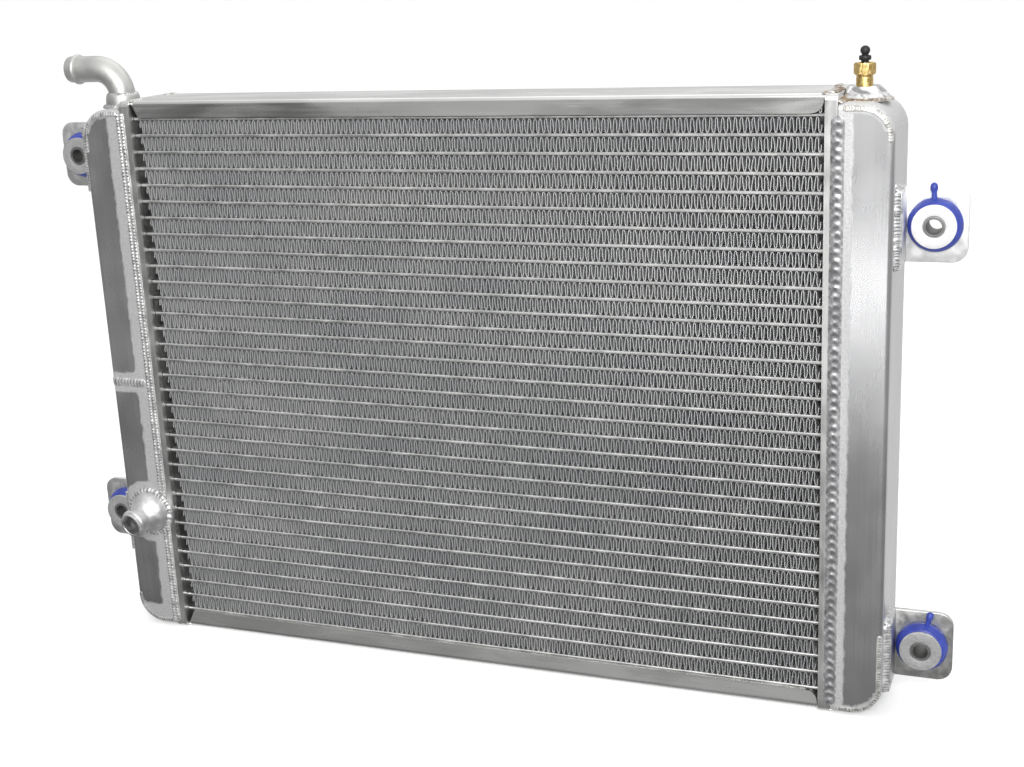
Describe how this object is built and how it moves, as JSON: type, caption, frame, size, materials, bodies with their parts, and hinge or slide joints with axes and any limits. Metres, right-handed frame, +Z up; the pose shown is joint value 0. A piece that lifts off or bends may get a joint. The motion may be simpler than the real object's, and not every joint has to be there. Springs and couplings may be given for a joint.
{
  "type": "car radiator",
  "caption": "Double-pass crossflow car radiator: flat-tube core with corrugated fins, welded side tanks, hose pipes, bleed valve and bushed brackets.",
  "frame": {"origin": "middle of the underside of the bottom side plate, half way through the core's depth", "axes": "X across the core from tank to tank, -Y out of the front face with the outlet pipe, +Z up towards the bleed valve"},
  "size_m": [0.5536, 0.0756, 0.3687],
  "materials": {
    "tube": "furnace-brazed, dull bright",
    "fins": "thin strip, bright crests with brazing dust",
    "side_plate": "mill finish, finely streaked along its length",
    "header": "mill finish, cleaned near the welds",
    "left_tank": "brushed sheet, TIG-welded edges",
    "right_tank": "brushed sheet, TIG-welded edges",
    "baffle": "mill finish",
    "elbow": "satin, cast-like",
    "outlet": "turned and blasted",
    "boss": "polished",
    "valve_brass": "turned, slightly dulled",
    "screw": "moulded, satin",
    "seal": "matt",
    "bracket_upper_left": "blasted plate",
    "bracket_lower_left": "blasted plate",
    "bracket_upper_right": "blasted plate",
    "bracket_lower_right": "blasted plate",
    "bush": "moulded, semi-gloss",
    "sleeve": "turned, zinc-plated"
  },
  "bodies": {
    "radiator": {"tube_01": "tube", "tube_02": "tube", "tube_03": "tube", "tube_04": "tube", "tube_05": "tube", "tube_06": "tube", "tube_07": "tube", "tube_08": "tube", "tube_09": "tube", "tube_10": "tube", "tube_11": "tube", "tube_12": "tube", "tube_13": "tube", "tube_14": "tube", "tube_15": "tube", "tube_16": "tube", "tube_17": "tube", "tube_18": "tube", "tube_19": "tube", "tube_20": "tube", "tube_21": "tube", "tube_22": "tube", "tube_23": "tube", "tube_24": "tube", "tube_25": "tube", "tube_26": "tube", "tube_27": "tube", "tube_28": "tube", "tube_29": "tube", "tube_30": "tube", "tube_31": "tube", "tube_32": "tube", "tube_33": "tube", "fin_pack": "fins", "side_plate_top": "side_plate", "side_plate_bottom": "side_plate", "header_plate_left": "header", "header_plate_right": "header", "left_tank_upper": "left_tank", "left_tank_lower": "left_tank", "right_tank": "right_tank", "left_tank_baffle": "baffle", "inlet_elbow": "elbow", "outlet_pipe": "outlet", "bleed_boss": "boss", "bleed_valve_body": "valve_brass", "bracket_upper_left": "bracket_upper_left", "bracket_lower_left": "bracket_lower_left", "bracket_upper_right": "bracket_upper_right", "bracket_lower_right": "bracket_lower_right", "bush_upper_left": "bush", "bush_lower_left": "bush", "bush_upper_right": "bush", "bush_lower_right": "bush", "sleeve_upper_left": "sleeve", "sleeve_lower_left": "sleeve", "sleeve_upper_right": "sleeve", "sleeve_lower_right": "sleeve"},
    "bleed_lifter": {"bleed_seal": "seal"},
    "bleed_turner": {"bleed_screw": "screw"}
  },
  "joints": [
    {"name": "bleed_lift", "type": "slide", "parent": "radiator", "child": "bleed_lifter", "axis": [0, 0, 1], "range_m": [0, 0.002]},
    {"name": "bleed_turn", "type": "hinge", "parent": "bleed_lifter", "child": "bleed_turner", "pos_m": [0.2226, 0, 0.3519], "axis": [0, 0, 1], "range_deg": [0, 720]}
  ],
  "couplings": [
    {"joint": "bleed_turn", "follows": "bleed_lift", "rad_per_m": 6283}
  ]
}
